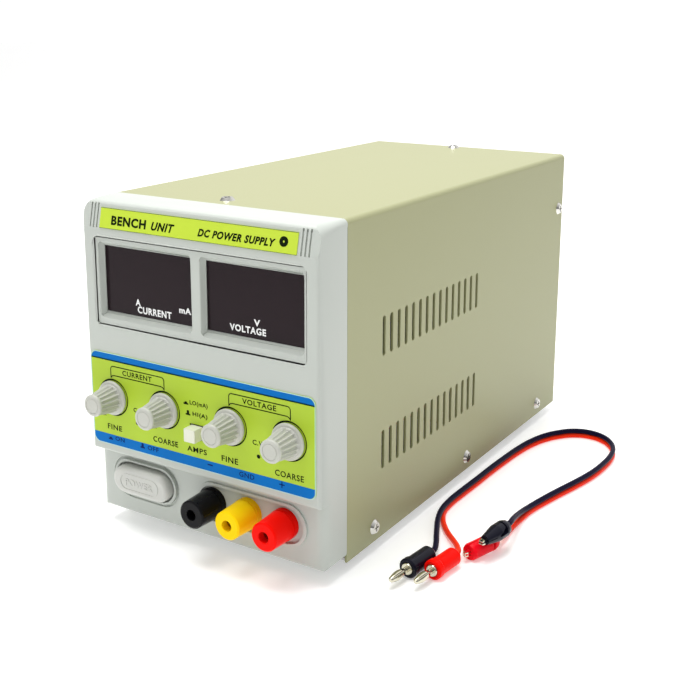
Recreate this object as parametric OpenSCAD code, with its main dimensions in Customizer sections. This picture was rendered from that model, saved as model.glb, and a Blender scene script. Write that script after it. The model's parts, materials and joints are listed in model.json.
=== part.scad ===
// Bench power supply: a deep sheet-metal case with a moulded front, twin meters,
// four adjusting knobs, three screw-down output posts and a pair of output leads.
// Millimetres. +Z is up, the front faces -Y, and the origin is on the bench,
// under the middle of the supply itself (the loose leads are not counted).

/* [Case] */
// Width of the sheet-metal cover
cover_w = 125; // [125:0.5:126]
// Depth of the cover, from the seam with the front moulding to the rear edge
cover_d = 236; // [232:1:240]
// Height of the cover
cover_h = 149; // [149:0.5:150]
// Thickness of the sheet metal
sheet_t = 1.2; // [1.0:0.1:1.4]
// Height of the rubber feet below the cover
foot_h = 5; // [4:0.5:6]
// Number of vent slots in a row
vent_count = 15; // [10:1:15]
// Distance between vent slots
vent_pitch = 6.6; // [6:0.1:6.6]

/* [Front moulding] */
// Depth of the front moulding
bezel_d = 21; // [21:0.5:22]
// Wall of the front moulding
wall = 2.5; // [2.4:0.1:2.6]
// How far the lower panel stands back from the upper one
step_d = 4.3; // [4:0.1:4.5]

/* [Controls] */
// Length of a knob in front of the panel
knob_l = 14; // [13.5:0.5:15]
// Radius of the knob skirt
knob_r = 8; // [7.5:0.1:8.5]
// Travel of the power button
power_travel = 4; // [3:0.5:4]
// Travel of the range button
range_travel = 2.5; // [2:0.25:3]

/* [Output posts] */
// Distance between output posts, the usual one for twin 4 mm plugs
post_pitch = 19; // [19:0.05:19.1]
// Radius of the 4 mm socket in a post
socket_r = 2.02; // [2.01:0.005:2.04]

/* [Hidden] */
$fn = 48;

// How far the fuse drawer's grip stands behind the rear panel
rear_out = 5;
// Seam between the cover and the moulding, with the whole depth centred on the origin
y_c = (bezel_d + knob_l - cover_d - rear_out) / 2;
// Upper front panel, lower front panel and rear edge
y_p = y_c - bezel_d;
y_l = y_p + step_d;
y_r = y_c + cover_d;
// Bottom edge of the cover, and its top
z_c = foot_h;
z_top = z_c + cover_h;

// Radius of the cover's long edges, and of the front moulding's upper front corners
cover_r = 2.5;
corner_r = 7;
// How far a corner's middle moves outwards on its way back to the seam
corner_shift = 1.4;

// Front moulding
bezel_z = z_c + 2.4;
block_z = z_c + 32.3;
tilt_z = z_c + 136.2;
tilt_back = 2.2;
tilt_up = 10.4;
tilt = atan(tilt_back / tilt_up);
film_t = 0.35;

// Meters
recess = [[-57, z_c + 92], [57, z_c + 133.4]];
recess_d = 1.2;
window_d = 3.9;
window_w = 49.8;
window_h = 30;
window_x = 28.6;
window_z = z_c + 113.3;
filter_t = 1.9;
board_y = y_p + 14.6;

// Controls, seen from the front
knob_x = [-48, -18, 18, 48];
knob_z = z_c + 59.5;
bush_r = 3.45;
grip_r = 6.45;
grip_end = 4.75;
cap_r = 5.05;
shaft_r = 2.97;
range_z = z_c + 53;
range_w = 6;
power_x = -34.5;
power_z = z_c + 20.4;
power_w = 32.5;
power_h = 13;
power_ear = y_l + 12;
range_ear = y_p + 9;

// Output posts
post_x0 = 23;
post_z = z_c + 19.7;
rim_x = post_x0 + 1.4;
rim_l = 2 * post_pitch + 20.6;
rim_h = 19.6;
rim_t = 1.6;
collar_r = 6.9;
stud_r = 3;
stud_front = y_l - 11;
cap_front = y_l - 15;
floor_y = y_l + 0.6;
base_front = floor_y - 3;
washer_t = 0.6;
washer_r = 4.5;
washer_gap = 0.3;
// The cap's rim reaches over the washer, and its seat stands in front of it
cap_back = base_front - washer_gap;
cap_seat = washer_t + washer_gap;

// Screws through the cover: [y, z] on both sides, [x, y] on the top
m4_r = 1.85;
m3_r = 1.45;
m3_l = 8;
m3_head_r = 2.8;
m3_head_h = 1.5;
screw_head_r = 3.4;
screw_head_h = 1.3;
side_screws = [[y_c + 23, z_c + 7], [y_c + 116, z_c + 7], [y_c + 209, z_c + 7],
               [y_c + 230, z_c + 118.5]];
top_screws = [[-5, y_c + 9.6], [-5, y_c + 230]];
trafo = [-20, y_c + 84];
trafo_screws = [for (x = [-32, 32], y = [-24, 24]) [trafo[0] + x, trafo[1] + y]];
board_at = [for (x = [-50, 34], y = [y_c + 146, y_c + 190]) [x, y]];
board_z = z_c + 12;
// Screws up through the tray: front moulding, rear panel and heat sink
under_screws = [[-40, y_c + 7], [40, y_c + 7], [-40, y_r - 7], [40, y_r - 7],
                [46, y_c + 142], [46, y_c + 192]];
foot_at = [for (x = [-46, 46], y = [y_c + 24, y_r - 24]) [x, y]];

// Rear
fan_x = -22;
fan_z = z_c + 104;
fan_w = 60;
fan_t = 15;
fan_hole = 25;
inlet_x = 26;
inlet_z = z_c + 38;
inlet_w = 48;
inlet_h = 36;
selector_x = -30;
selector_z = z_c + 32;

// Floor of the tray
tray_z = z_c + 0.4;
tray_top = tray_z + sheet_t;
inner_w = cover_w - 2 * sheet_t - 0.4;

// Leads, in millimetres from the origin: each route is the middle of its wire
lead_d = 2.6;
sleeve_r = 4.4;
sleeve_l = 17.5;
black_plug = [87.9, -75.2, sleeve_r];
red_plug = [97.7, -70.9, sleeve_r];
black_plug_turn = 264;
red_plug_turn = 263;
pair_route = [
    [70.8, -22], [70.8, -8], [71.2, 8], [71.4, 24], [72, 40], [73, 56], [75, 70],
    [78.5, 81.5], [83.3, 90], [89.5, 96.3], [97.5, 98.8], [105.5, 96.8], [112, 91],
    [116.3, 83], [118.3, 73], [118.5, 60], [117.3, 46], [114.7, 32.5], [111.5, 19],
    [108.6, 6], [106.3, -6.5]];
black_high = 3.95;
red_high = 1.3;
black_route = concat(
    [black_plug, [87.9, -71.5, 4.4], [86, -66, 4.4], [82.6, -59, 4.3],
     [79, -51.5, 4.1], [75, -42.5, black_high], [72, -32.5, black_high]],
    [for (p = pair_route) [p[0], p[1], black_high]],
    [[105.7, -14, 4.5], [106.2, -21, 5.8], [107.4, -28, 7.6], [108.9, -35, 9.3],
     [110, -40.5, 10.2], [110.1, -44.5, 10.3]]);
red_route = concat(
    [red_plug, [97.4, -67.3, 4.3], [94.8, -62.5, 3.8], [90.5, -57, 2.9],
     [85.5, -51.3, 1.9], [79.8, -44.5, red_high], [74.8, -37, red_high],
     [71.8, -29.5, red_high]],
    [for (p = pair_route) [p[0], p[1], red_high]],
    [[105.7, -17, red_high], [105.6, -26, red_high], [106.1, -34.5, 1.6],
     [106.8, -41, 2.9], [106.3, -47.2, 3.85]]);

// Clips: tip, and turn about Z; then the place where the bare nose ends, and its radius
clip_r = 3.85;
clip_l = 21;
clip_pivot = 9.5;
pin_r = 1;
// Where the moving half ends, and where the round end that holds the cord begins
clip_tail = 15.4;
clip_end = 16.5;
black_clip_at = [[107.2, -65.3, 10.3], 82];
red_clip_at = [[100.5, -67.4, clip_r], 74];
black_nose = [2.2, 12];
red_nose = [3.4, 4];

// ---- Shapes that repeat ----

// A drawing in X and Z, made thick from y0 backwards
module along_y(y0, thick) {
    translate([0, y0 + thick, 0]) rotate([90, 0, 0]) linear_extrude(thick) children();
}

// A drawing in Y and Z, made thick from x0 to the right
module along_x(x0, thick) {
    translate([x0, 0, 0]) rotate([90, 0, 90]) linear_extrude(thick) children();
}

// A round bar along Y
module rod_y(x, z, r, y0, y1) {
    translate([x, y0, z]) rotate([-90, 0, 0]) cylinder(r = r, h = y1 - y0);
}

// A box given by its lowest and highest corners
module box(low, high) {
    translate(low) cube(high - low);
}

module rounded(w, h, r) {
    square([w - 2 * r, h], center = true);
    square([w, h - 2 * r], center = true);
    for (x = [-1, 1], y = [-1, 1]) translate([x * (w / 2 - r), y * (h / 2 - r)]) circle(r);
}

// A slot with round ends, wider than it is high
module stadium(w, h) {
    square([w - h, h], center = true);
    for (x = [-1, 1]) translate([x * (w - h) / 2, 0]) circle(h / 2);
}

// A pocket whose four walls slope in by bevel as it goes depth deep, from y0
module sloped_pocket(low, high, y0, depth, bevel) {
    intersection() {
        along_x(low[0], high[0] - low[0]) polygon([
            [y0, low[1]], [y0 + depth, low[1] + bevel], [y0 + depth, high[1] - bevel],
            [y0, high[1]], [y0 - 1, high[1]], [y0 - 1, low[1]]]);
        translate([0, 0, low[1]]) linear_extrude(high[1] - low[1]) polygon([
            [low[0], y0], [low[0] + bevel, y0 + depth], [high[0] - bevel, y0 + depth],
            [high[0], y0], [high[0], y0 - 1], [low[0], y0 - 1]]);
    }
}

// A pan-head screw at the origin: the head is towards +Z, the shank goes down
module screw(shank_r, shank_l, head_r, head_h) {
    difference() {
        union() {
            cylinder(r1 = head_r, r2 = head_r * 0.72, h = head_h);
            translate([0, 0, -shank_l]) cylinder(r = shank_r, h = shank_l + 0.01);
        }
        for (a = [0, 90]) rotate(a)
            translate([-head_r * 0.5, -0.4, head_h * 0.45]) cube([head_r, 0.8, head_h]);
    }
}

// A wire swept along its points, with sides sides
function unit(v) = v / norm(v);
function ahead(path, i) =
    unit(path[min(i + 1, len(path) - 1)] - path[max(i - 1, 0)]);
function ring(centre, dir, r, sides) =
    let (side = unit(cross(dir, [0, 0, 1])), up = cross(side, dir))
    [for (k = [0 : sides - 1])
        let (a = 360 * (k + 0.5) / sides) centre + r * (cos(a) * side + sin(a) * up)];
module wire(path, r, sides) {
    rings = len(path);
    points = [for (i = [0 : rings - 1]) each ring(path[i], ahead(path, i), r, sides)];
    skin = [for (i = [0 : rings - 2], k = [0 : sides - 1])
        let (a = i * sides + k, b = i * sides + (k + 1) % sides)
        each [[a, b, b + sides], [a, b + sides, a + sides]]];
    first = [[for (k = [sides - 1 : -1 : 0]) k]];
    last = [[for (k = [0 : sides - 1]) (rings - 1) * sides + k]];
    polyhedron(points, concat(skin, first, last));
}

// ---- Front ----

// Side view of the moulding: lower panel, step, upper panel, tilted strip, round top
function front_outline(top_r) = [
    [y_c, bezel_z], [y_l + 1.5, bezel_z], [y_l, bezel_z + 1.5], [y_l, block_z],
    [y_p + 0.6, block_z + 0.3], [y_p, block_z + 1], [y_p, tilt_z],
    [y_p + tilt_back, tilt_z + tilt_up],
    for (a = [15 : 15 : 75])
        [y_p + tilt_back + top_r * (1 - cos(a)), tilt_z + tilt_up + 2.4 * sin(a)],
    [y_p + tilt_back + top_r, z_top], [y_c, z_top]];

// What is cut away to round an upper corner, less and less towards the seam
module corner_cut(side) difference() {
    lean = atan(corner_shift / bezel_d);
    low = cover_w / 2 - corner_r;
    box([side > 0 ? low : -cover_w, y_p - 1, z_top - corner_r],
        [side > 0 ? cover_w : -low, y_c + 1, z_top + 5]);
    translate([side * low, y_p, z_top - corner_r]) rotate([lean, 0, -side * lean])
        rotate([-90, 0, 0]) translate([0, 0, -5]) cylinder(r = corner_r, h = bezel_d + 10);
}

// The bezel's outline seen from above, deep from front to back
module plan(z, high, deep, r) {
    translate([0, y_c + 20 - (deep + 20) / 2, z]) linear_extrude(high)
        rounded(cover_w, deep + 20, r);
}

module front_bezel() color([0.76, 0.79, 0.76]) {
    difference() {
        union() {
            difference() {
                intersection() {
                    along_x(-cover_w / 2, cover_w) polygon(front_outline(4));
                    along_y(y_p - 1, bezel_d + 2) translate([0, (bezel_z + z_top) / 2])
                        rounded(cover_w, z_top - bezel_z, cover_r);
                    union() {
                        plan(block_z, cover_h, bezel_d, 1.6);
                        plan(bezel_z, block_z - bezel_z + 0.01, bezel_d - step_d, 4.5);
                    }
                }
                // Hollow from behind, thicker around the meters
                along_x(-cover_w / 2 + wall, cover_w - 2 * wall) polygon([
                    [y_c + 1, bezel_z + wall], [y_l + wall, bezel_z + wall],
                    [y_l + wall, block_z + wall], [y_p + wall, block_z + wall + 1],
                    [y_p + wall, z_c + 88], [y_p + 6.4, z_c + 88],
                    [y_p + 6.4, z_c + 145], [y_c + 1, z_c + 145]]);
            }
            // Rims around the power button and the posts
            along_y(y_l - 1.1, 1.6) translate([power_x, power_z]) stadium(36.6, 17.4);
            along_y(y_l - 0.9, 1.5) translate([rim_x, post_z])
                stadium(rim_l, rim_h);
            // Pillars for the display board and for both switches
            for (x = [-54, 54], z = [92.5, 135.5]) rod_y(x, z_c + z, 2.2, y_p + 6, board_y);
            for (x = [-20.5, 20.5]) box([power_x + x - 2, y_l + wall - 0.1, power_z - 5],
                [power_x + x + 2, power_ear, power_z + 5]);
            for (x = [-7, 7]) box([x - 1.5, y_p + wall - 0.1, range_z - 3],
                [x + 1.5, range_ear, range_z + 3]);
            // Tabs that the top screw and the tray screws hold
            box([-15, y_c - 1, z_top - 5], [5, y_c + 15, z_top - sheet_t - 0.3]);
            for (x = [-40, 40]) {
                box([x - 6, y_c - 1, bezel_z], [x + 6, y_c + 13, bezel_z + 3]);
                translate([x, y_c + 7, tray_top]) cylinder(r = 4, h = 3);
            }
        }
        corner_cut(-1);
        corner_cut(1);
        along_y(y_l - 2, 2.6) translate([rim_x, post_z])
            stadium(rim_l - 2 * rim_t, rim_h - 2 * rim_t);
        // A groove round the power button's rim and a pocket inside it
        along_y(y_l - 1, 1.7) translate([power_x, power_z]) difference() {
            stadium(39, 19.8);
            stadium(36.6, 17.4);
        }
        along_y(y_l - 2, 3.2) translate([power_x, power_z]) stadium(34.4, 15.2);
        intersection() {
            sloped_pocket(recess[0], recess[1], y_p, recess_d, 1.4);
            along_y(y_p - 2, 6) translate([0, (recess[0][1] + recess[1][1]) / 2])
                rounded(recess[1][0] - recess[0][0], recess[1][1] - recess[0][1], 4);
        }
        for (x = [-window_x, window_x]) {
            // Sloping sill, then the opening and the rebate for the filter behind it
            intersection() {
                sloped_pocket([x - 26.2, window_z - 17.4], [x + 26.2, window_z + 17.2],
                    y_p + recess_d, window_d - recess_d, 1.3);
                along_y(y_p - 1, 7) translate([x, window_z - 0.1]) rounded(52.4, 34.6, 2.2);
            }
            along_y(y_p + window_d - 0.2, 4) translate([x, window_z])
                square([window_w, window_h], center = true);
            along_y(y_p + 4.4, 3) translate([x, window_z])
                square([window_w + 3, window_h + 3], center = true);
        }
        for (x = knob_x) rod_y(x, knob_z, 3.6, y_p - 1, y_p + wall + 1);
        along_y(y_p - 1, wall + 2) translate([0, range_z])
            square(range_w + 0.7, center = true);
        along_y(y_l - 2, wall + 3) translate([power_x, power_z])
            stadium(power_w + 0.9, power_h + 0.9);
        for (i = [-1 : 1])
            rod_y(post_x0 + i * post_pitch, post_z, 4.1, y_l - 1, y_l + wall + 1);
        // Three fluting grooves at each end of the title strip
        for (side = [-1, 1], x = [54, 55.9, 57.8]) translate([side * x, 0, 0]) {
            translate([0, y_p, tilt_z]) rotate([-tilt, 0, 0])
                translate([-0.4, -1, 0.6]) cube([0.8, 1.7, 10.6]);
            translate([0, y_p + tilt_back + 0.2, tilt_z + tilt_up - 0.2])
                rotate([-35, 0, 0]) translate([-0.4, -1, 0]) cube([0.8, 1.7, 1]);
        }
        translate([-5, y_c + 9.6, z_top - 8]) cylinder(r = m4_r + 0.05, h = 10);
        for (x = [-40, 40]) translate([x, y_c + 7, z_c]) cylinder(r = m3_r + 0.05, h = 10);
    }
}

module title_strip() color([0.75, 0.85, 0.22])
    translate([0, y_p, tilt_z]) rotate([-tilt, 0, 0])
        box([-52.1, -film_t, 0.7], [52.1, 0, 9.7]);

module control_overlay() color([0.68, 0.8, 0.2])
    along_y(y_p - film_t, film_t) difference() {
        translate([0, z_c + 58.2]) rounded(121.8, 43.8, 3.2);
        for (x = knob_x) translate([x, knob_z]) circle(3.8);
        translate([0, range_z]) square(range_w + 1, center = true);
    }

module display_windows() color([0.2, 0.05, 0.08, 0.8])
    for (x = [-window_x, window_x]) along_y(y_p + 4.45, filter_t)
        translate([x, window_z]) square([window_w + 2.6, window_h + 2.6], center = true);

module digit_displays() color([0.12, 0.12, 0.12])
    for (x = [-window_x, window_x])
        box([x - 22.5, y_p + 7, window_z - 7], [x + 22.5, board_y, window_z + 12]);

module display_board() color([0.1, 0.4, 0.2])
    box([-57, board_y, z_c + 90], [57, board_y + 1.6, z_c + 138]);

// ---- Case ----

module vent_row(z) {
    for (i = [0 : vent_count - 1]) translate([0, y_c + 30 + i * vent_pitch, z])
        rotate([0, 90, 0]) linear_extrude(cover_w + 10, center = true)
            stadium(18, 2.6);
}

module top_cover() color([0.78, 0.78, 0.68]) {
    r = cover_r;
    difference() {
        intersection() {
            along_y(y_c, cover_d) difference() {
                union() {
                    translate([-cover_w / 2, z_c]) square([cover_w, cover_h - r]);
                    translate([-cover_w / 2 + r, z_c]) square([cover_w - 2 * r, cover_h]);
                    for (x = [-1, 1])
                        translate([x * (cover_w / 2 - r), z_top - r]) circle(r);
                }
                translate([-cover_w / 2 + sheet_t, z_c - 1])
                    square([cover_w - 2 * sheet_t, cover_h + 1 - sheet_t]);
            }
            // Round lower corners of both sides
            along_x(-cover_w, 2 * cover_w)
                translate([y_c + cover_d / 2, z_c + cover_h / 2]) difference() {
                    square([cover_d, cover_h], center = true);
                    for (s = [-1, 1]) translate([s * cover_d / 2, -cover_h / 2])
                        difference() {
                            square(6, center = true);
                            translate([-s * 3, 3]) circle(3);
                            translate([-s * 3 - 3, 0]) square([6, 3]);
                            translate([-s * 6 - 3, -3]) square([6, 6]);
                        }
                }
        }
        vent_row(z_c + 93.3);
        vent_row(z_c + 41.3);
        for (s = side_screws) translate([0, s[0], s[1]]) rotate([0, 90, 0])
            cylinder(r = 2.1, h = cover_w + 10, center = true);
        for (t = top_screws) translate([t[0], t[1], z_top - 5]) cylinder(r = 2.1, h = 10);
    }
}

module chassis_tray() color([0.72, 0.73, 0.74]) difference() {
    union() {
        box([-inner_w / 2, y_c + 0.5, tray_z], [inner_w / 2, y_r - 1, tray_top]);
        for (s = [-1, 1]) translate([s * (inner_w - sheet_t) / 2, 0, 0])
            box([-sheet_t / 2, y_c + 14, tray_z], [sheet_t / 2, y_r - 15, z_c + 15]);
        // Pressed pillars that carry the main board
        for (b = board_at) translate([b[0], b[1], tray_z]) cylinder(r = 3, h = board_z - tray_z);
    }
    for (s = side_screws) translate([0, s[0], s[1]]) rotate([0, 90, 0])
        cylinder(r = 1.9, h = cover_w, center = true);
    for (h = concat(foot_at, under_screws)) translate([h[0], h[1], z_c])
        cylinder(r = m3_r + 0.05, h = 5);
    for (t = trafo_screws) translate([t[0], t[1], z_c]) cylinder(r = m4_r + 0.05, h = 5);
    for (b = board_at) translate([b[0], b[1], z_c]) cylinder(r = m3_r + 0.05, h = 14);
}

module rear_panel() color([0.75, 0.75, 0.68]) difference() {
    union() {
        box([-inner_w / 2, y_r - sheet_t, tray_top],
            [inner_w / 2, y_r, z_top - sheet_t - 0.2]);
        for (s = [-1, 1]) translate([s * (inner_w - sheet_t) / 2, 0, 0])
            box([-sheet_t / 2, y_r - 12, z_c + 18],
                [sheet_t / 2, y_r, z_top - sheet_t - 0.2]);
        box([-inner_w / 2, y_r - 14, tray_top], [inner_w / 2, y_r, tray_top + sheet_t]);
        box([-inner_w / 2, y_r - 12, z_top - 2 * sheet_t - 0.2],
            [inner_w / 2, y_r, z_top - sheet_t - 0.2]);
    }
    for (x = [-40, 40]) translate([x, y_r - 7, tray_z]) cylinder(r = m3_r + 0.05, h = 5);
    rod_y(fan_x, fan_z, 28, y_r - 3, y_r + 1);
    for (x = [-1, 1], z = [-1, 1])
        rod_y(fan_x + x * fan_hole, fan_z + z * fan_hole, 1.6, y_r - 3, y_r + 1);
    along_y(y_r - 3, 4) translate([inlet_x, inlet_z]) square([28.4, 32.4], center = true);
    for (x = [-20, 20]) rod_y(inlet_x + x, inlet_z, 1.6, y_r - 3, y_r + 1);
    along_y(y_r - 3, 4) translate([selector_x, selector_z])
        square([23.4, 11.4], center = true);
    translate([0, side_screws[3][0], side_screws[3][1]]) rotate([0, 90, 0])
        cylinder(r = 1.9, h = cover_w, center = true);
    translate([top_screws[1][0], top_screws[1][1], z_top - 5]) cylinder(r = 1.9, h = 10);
}

module rubber_feet() color([0.08, 0.08, 0.08])
    for (f = foot_at) translate([f[0], f[1], 0]) difference() {
        cylinder(r1 = 6.2, r2 = 7, h = tray_z);
        translate([0, 0, -1]) cylinder(r = 3.2, h = 3.8);
        translate([0, 0, 1]) cylinder(r = 1.6, h = 8);
    }

module case_screws() color([0.8, 0.8, 0.78]) {
    for (side = [-1, 1], s = side_screws)
        translate([side * cover_w / 2, s[0], s[1]]) rotate([0, side * 90, 0])
            screw(m4_r, 5, screw_head_r, screw_head_h);
    for (t = top_screws) translate([t[0], t[1], z_top])
        screw(m4_r, 5, screw_head_r, screw_head_h);
    for (t = trafo_screws) translate([t[0], t[1], tray_top + 2])
        screw(m4_r, 5, screw_head_r, screw_head_h);
}

module m3_screw() screw(m3_r, m3_l, m3_head_r, m3_head_h);

module small_screws() color([0.78, 0.78, 0.76]) {
    for (f = foot_at) translate([f[0], f[1], 2.8]) rotate([180, 0, 0]) m3_screw();
    for (u = under_screws) translate([u[0], u[1], tray_z]) rotate([180, 0, 0]) m3_screw();
    for (b = board_at) translate([b[0], b[1], board_z + 1.6]) m3_screw();
    for (x = [-1, 1], z = [-1, 1])
        translate([fan_x + x * fan_hole, y_r + 1.8, fan_z + z * fan_hole])
            rotate([-90, 0, 0]) m3_screw();
    for (x = [-20, 20]) translate([inlet_x + x, y_r + 3, inlet_z])
        rotate([-90, 0, 0]) m3_screw();
}

// ---- Controls ----

module knob(i) color([0.84, 0.84, 0.82]) translate([knob_x[i], y_p, knob_z])
    rotate([90, 0, 0]) difference() {
        union() {
            translate([0, 0, 0.9]) cylinder(r1 = knob_r, r2 = knob_r - 0.4, h = 1.4);
            translate([0, 0, 2.2]) cylinder(r1 = grip_r, r2 = grip_end, h = knob_l - 3.7);
            translate([0, 0, knob_l - 1.51]) cylinder(r = cap_r, h = 1.01);
            translate([0, 0, knob_l - 0.51]) cylinder(r1 = cap_r, r2 = cap_r - 0.5, h = 0.51);
        }
        // Flutes between the ribs, and a shallow ring on the end
        for (a = [0 : 20 : 340]) rotate(a) translate([grip_r + 0.12, 0, 3.2])
            rotate([0, -atan((grip_r - grip_end) / (knob_l - 3.7)), 0])
                cylinder(r = 0.7, h = knob_l - 5);
        translate([0, 0, knob_l - 0.2]) difference() {
            cylinder(r = cap_r - 1.4, h = 1);
            translate([0, 0, -1]) cylinder(r = cap_r - 1.8, h = 3);
        }
        // Room for the nut and the bush, and the hole for the shaft
        translate([0, 0, -1]) cylinder(r = 6, h = 3.7);
        translate([0, 0, 2]) cylinder(r = bush_r + 0.4, h = 2.2);
        translate([0, 0, 4]) cylinder(r = shaft_r - 0.01, h = 7.5);
    }

module shaft(i) color([0.75, 0.76, 0.78])
    rod_y(knob_x[i], knob_z, shaft_r, y_p - 11.2, y_p + 9);

module potentiometers() color([0.35, 0.36, 0.38])
    for (x = knob_x) difference() {
        union() {
            rod_y(x, knob_z, 8, y_p + wall, y_p + wall + 9);
            rod_y(x, knob_z, bush_r, y_p - 3.6, y_p + wall + 1);
            box([x - 6, y_p + wall + 3, knob_z - 12], [x + 6, y_p + wall + 4.6, knob_z]);
        }
        rod_y(x, knob_z, shaft_r + 0.05, y_p - 5, y_p + 9.5);
    }

module pot_nuts() color([0.8, 0.8, 0.78])
    for (x = knob_x) translate([x, y_p - film_t - 2, knob_z]) rotate([-90, 0, 0])
        difference() {
            cylinder(r = 5.7, h = 2, $fn = 6);
            translate([0, 0, -1]) cylinder(r = bush_r + 0.02, h = 4);
        }

module power_button() color([0.85, 0.85, 0.82]) {
    along_y(y_p - 0.8, step_d + 4.4) translate([power_x, power_z])
        stadium(power_w, power_h);
    along_y(y_l + wall + 0.5, 1.4) translate([power_x, power_z])
        stadium(power_w + 3, power_h + 3);
    box([power_x - 2, y_l + wall + 1, power_z - 2], [power_x + 2, y_l + 14, power_z + 2]);
}

module power_switch() color([0.15, 0.15, 0.16]) difference() {
    union() {
        box([power_x - 23, power_ear, power_z - 4], [power_x + 23, power_ear + 1.5, power_z + 4]);
        box([power_x - 8, y_l + 10, power_z - 7], [power_x + 8, y_l + 32, power_z + 7]);
    }
    box([power_x - 2.4, y_l + 9, power_z - 2.4], [power_x + 2.4, y_l + 19, power_z + 2.4]);
}

module range_button() color([0.9, 0.9, 0.84]) {
    along_y(y_p - 5.8, 9.8) translate([0, range_z]) square(range_w, center = true);
    along_y(y_p + 3, 1) translate([0, range_z]) square(range_w + 2, center = true);
    box([-1.3, y_p + 3, range_z - 1.3], [1.3, y_p + 9, range_z + 1.3]);
}

module range_switch() color([0.15, 0.15, 0.16]) difference() {
    union() {
        box([-8.5, range_ear, range_z - 2], [8.5, range_ear + 1, range_z + 2]);
        box([-4, y_p + 7.5, range_z - 4], [4, y_p + 18, range_z + 4]);
    }
    box([-1.7, y_p + 7, range_z - 1.7], [1.7, y_p + 13, range_z + 1.7]);
}

// ---- Output posts: i is -1, 0 or 1 from left to right ----

function post_at(i) = post_x0 + i * post_pitch;

module post_studs() color([0.8, 0.7, 0.4])
    for (i = [-1 : 1]) difference() {
        rod_y(post_at(i), post_z, stud_r, stud_front, y_l + 16);
        rod_y(post_at(i), post_z, socket_r, stud_front - 1, y_l + 8);
    }

module post_nuts() color([0.82, 0.72, 0.42])
    for (i = [-1 : 1]) translate([post_at(i), y_l + wall, post_z])
        rotate([-90, 0, 0]) difference() {
            cylinder(r = 5.2, h = 3, $fn = 6);
            translate([0, 0, -1]) cylinder(r = stud_r + 0.02, h = 5);
        }

// The insulating base: a collar in front and a bush through the panel
module post_base(i) difference() {
    union() {
        rod_y(post_at(i), post_z, collar_r, base_front, floor_y);
        rod_y(post_at(i), post_z, 4, floor_y - 1, y_l + wall);
    }
    rod_y(post_at(i), post_z, stud_r + 0.02, base_front - 1, y_l + wall + 3);
}

module post_washer(i) color([0.82, 0.75, 0.5]) difference() {
    rod_y(post_at(i), post_z, washer_r, base_front - washer_t - washer_gap,
        base_front - washer_gap);
    rod_y(post_at(i), post_z, stud_r + 0.1, base_front - 3, base_front + 1);
}

// The screw cap: a smooth, slightly tapering grip with a hole in front for the plug
module post_cap(i) translate([post_at(i), cap_back, post_z]) rotate([90, 0, 0]) {
    long = cap_back - cap_front;
    difference() {
        union() {
            cylinder(r1 = 6.8, r2 = 6.35, h = long - 0.6);
            translate([0, 0, long - 0.61]) cylinder(r1 = 6.35, r2 = 5.7, h = 0.61);
        }
        translate([0, 0, -1]) cylinder(r = washer_r + 0.4, h = cap_seat + 1);
        translate([0, 0, -1]) cylinder(r = stud_r + 0.05, h = cap_back - stud_front + 1.4);
        cylinder(r = 2.5, h = long + 1);
    }
}

// ---- Inside ----

module transformer_core() color([0.5, 0.5, 0.52]) translate([trafo[0], trafo[1], tray_top]) difference() {
    union() {
        box([-38, -20, 0], [38, 20, 64]);
        box([-38, -29, 0], [38, 29, 2]);
    }
    for (x = [-1, 1]) translate([x * 19, 0, 32]) cube([13, 50, 38], center = true);
    for (x = [-32, 32], y = [-24, 24]) translate([x, y, -1]) cylinder(r = 2, h = 4);
}

module transformer_coil() color([0.85, 0.75, 0.3])
    translate([trafo[0], trafo[1], tray_top]) difference() {
    box([-25, -33, 13.3], [25, 33, 50.7]);
    box([-12.8, -20.3, 0], [12.8, 20.3, 64]);
    for (x = [-1, 1]) translate([x * 32.6, 0, 32]) cube([14, 40.6, 80], center = true);
}

module main_board() color([0.1, 0.42, 0.2]) difference() {
    box([-56, y_c + 138, board_z], [40, y_c + 198, board_z + 1.6]);
    for (b = board_at) translate([b[0], b[1], z_c + 10]) cylinder(r = 1.6, h = 6);
}

module capacitors() color([0.15, 0.17, 0.3]) {
    for (p = [[-38, y_c + 160], [-8, y_c + 160]]) translate([p[0], p[1], board_z + 1.6])
        cylinder(r = 12.5, h = 40);
    for (x = [-42, -28, -14, 0]) translate([x, y_c + 184, board_z + 1.6])
        cylinder(r = 5, h = 16);
}

module heatsink() color([0.3, 0.31, 0.33]) difference() {
    union() {
        box([44, y_c + 134, tray_top], [48, y_c + 200, z_c + 110]);
        for (i = [0 : 7]) box([47.9, y_c + 134.5 + i * 9, z_c + 20],
            [58, y_c + 136.5 + i * 9, z_c + 110]);
    }
    for (y = [142, 192]) translate([46, y_c + y, z_c]) cylinder(r = m3_r + 0.05, h = 12);
}

module power_transistors() color([0.12, 0.12, 0.12])
    for (y = [y_c + 150, y_c + 172])
        box([39, y - 8, z_c + 60], [44, y + 8, z_c + 80]);

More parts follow.
